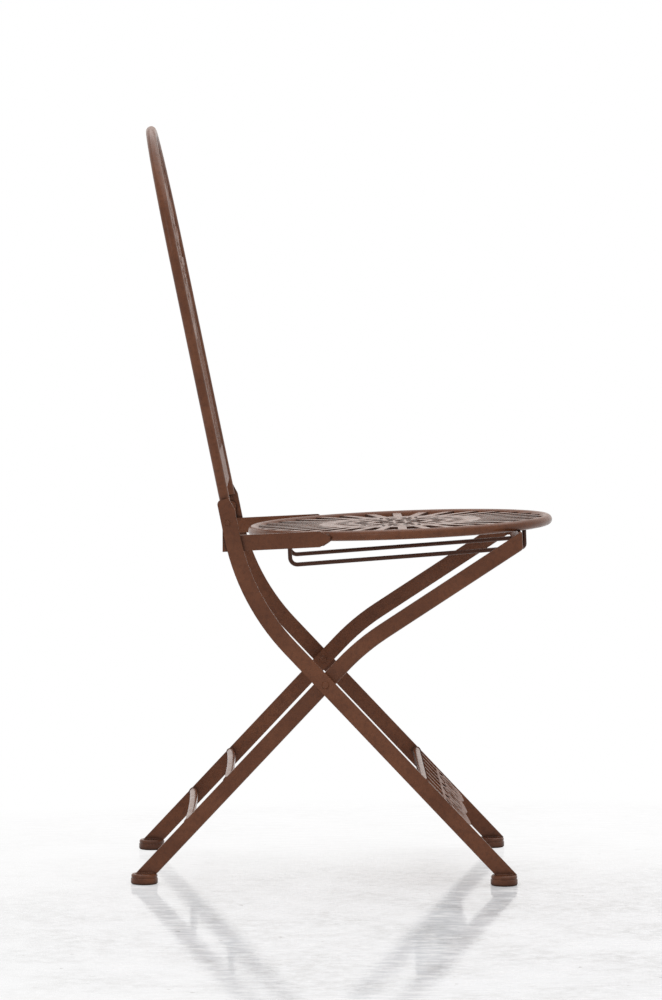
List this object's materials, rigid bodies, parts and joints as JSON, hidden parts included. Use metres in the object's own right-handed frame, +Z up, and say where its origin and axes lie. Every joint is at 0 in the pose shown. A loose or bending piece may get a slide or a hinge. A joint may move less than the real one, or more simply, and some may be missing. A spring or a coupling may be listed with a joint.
{
  "type": "folding garden chair",
  "caption": "Folding garden chair in brown painted steel: round pierced seat, arched sunburst back, crossed riveted legs and a pierced panel between the front legs.",
  "frame": {"origin": "on the floor, under the middle of the chair's length and width when it stands open", "axes": "+X forward, the way the sitter faces; +Y to the sitter's left; +Z up"},
  "size_m": [0.5378, 0.394, 0.9536],
  "materials": {
    "bar_steel": "satin antique-brown paint over round and flat steel bar",
    "sheet_steel": "satin antique-brown paint over steel strip and pierced sheet",
    "rivet_steel": "painted rivet heads, worn on the crown",
    "foot_steel": "satin antique-brown paint on round foot pads"
  },
  "bodies": {
    "back_and_front_legs": {"back_hoop": "bar_steel", "back_medallion": "sheet_steel", "back_rays": "sheet_steel", "back_slats": "sheet_steel", "back_lower_plate": "sheet_steel", "front_leg_right": "bar_steel", "front_leg_left": "bar_steel", "leg_panel_crossbar": "sheet_steel", "leg_panel_struts": "sheet_steel", "leg_panel_fans": "sheet_steel", "front_feet": "foot_steel", "leg_rivets": "rivet_steel", "leg_spacers": "rivet_steel", "seat_rivets": "rivet_steel", "seat_washers": "rivet_steel"},
    "rear_legs": {"rear_leg_right": "bar_steel", "rear_leg_left": "bar_steel", "rear_stretcher_upper": "bar_steel", "rear_stretcher_lower": "bar_steel", "rear_feet": "foot_steel"},
    "seat": {"seat_ring": "bar_steel", "seat_medallion": "sheet_steel", "seat_rays": "sheet_steel", "seat_rail_right": "bar_steel", "seat_rail_left": "bar_steel", "guide_wire_right": "bar_steel", "guide_wire_left": "bar_steel"},
    "slide_bar": {"slide_bar": "bar_steel"}
  },
  "joints": [
    {"name": "leg_fold", "type": "hinge", "parent": "back_and_front_legs", "child": "rear_legs", "pos_m": [-0.02422, 0, 0.2523], "axis": [0, -1, 0], "range_deg": [0, 68.89]},
    {"name": "seat_hinge", "type": "hinge", "parent": "back_and_front_legs", "child": "seat", "pos_m": [-0.14642, 0, 0.4557], "axis": [0, -1, 0], "range_deg": [0, 91.11]},
    {"name": "bar_slide", "type": "slide", "parent": "seat", "child": "slide_bar", "axis": [-0.9972, 0, -0.075], "range_m": [0, 0.27927]}
  ],
  "couplings": [
    {"joint": "seat_hinge", "follows": "leg_fold", "ratio": 1.3224},
    {"joint": "bar_slide", "follows": "leg_fold", "m_per_rad": 0.23225}
  ]
}
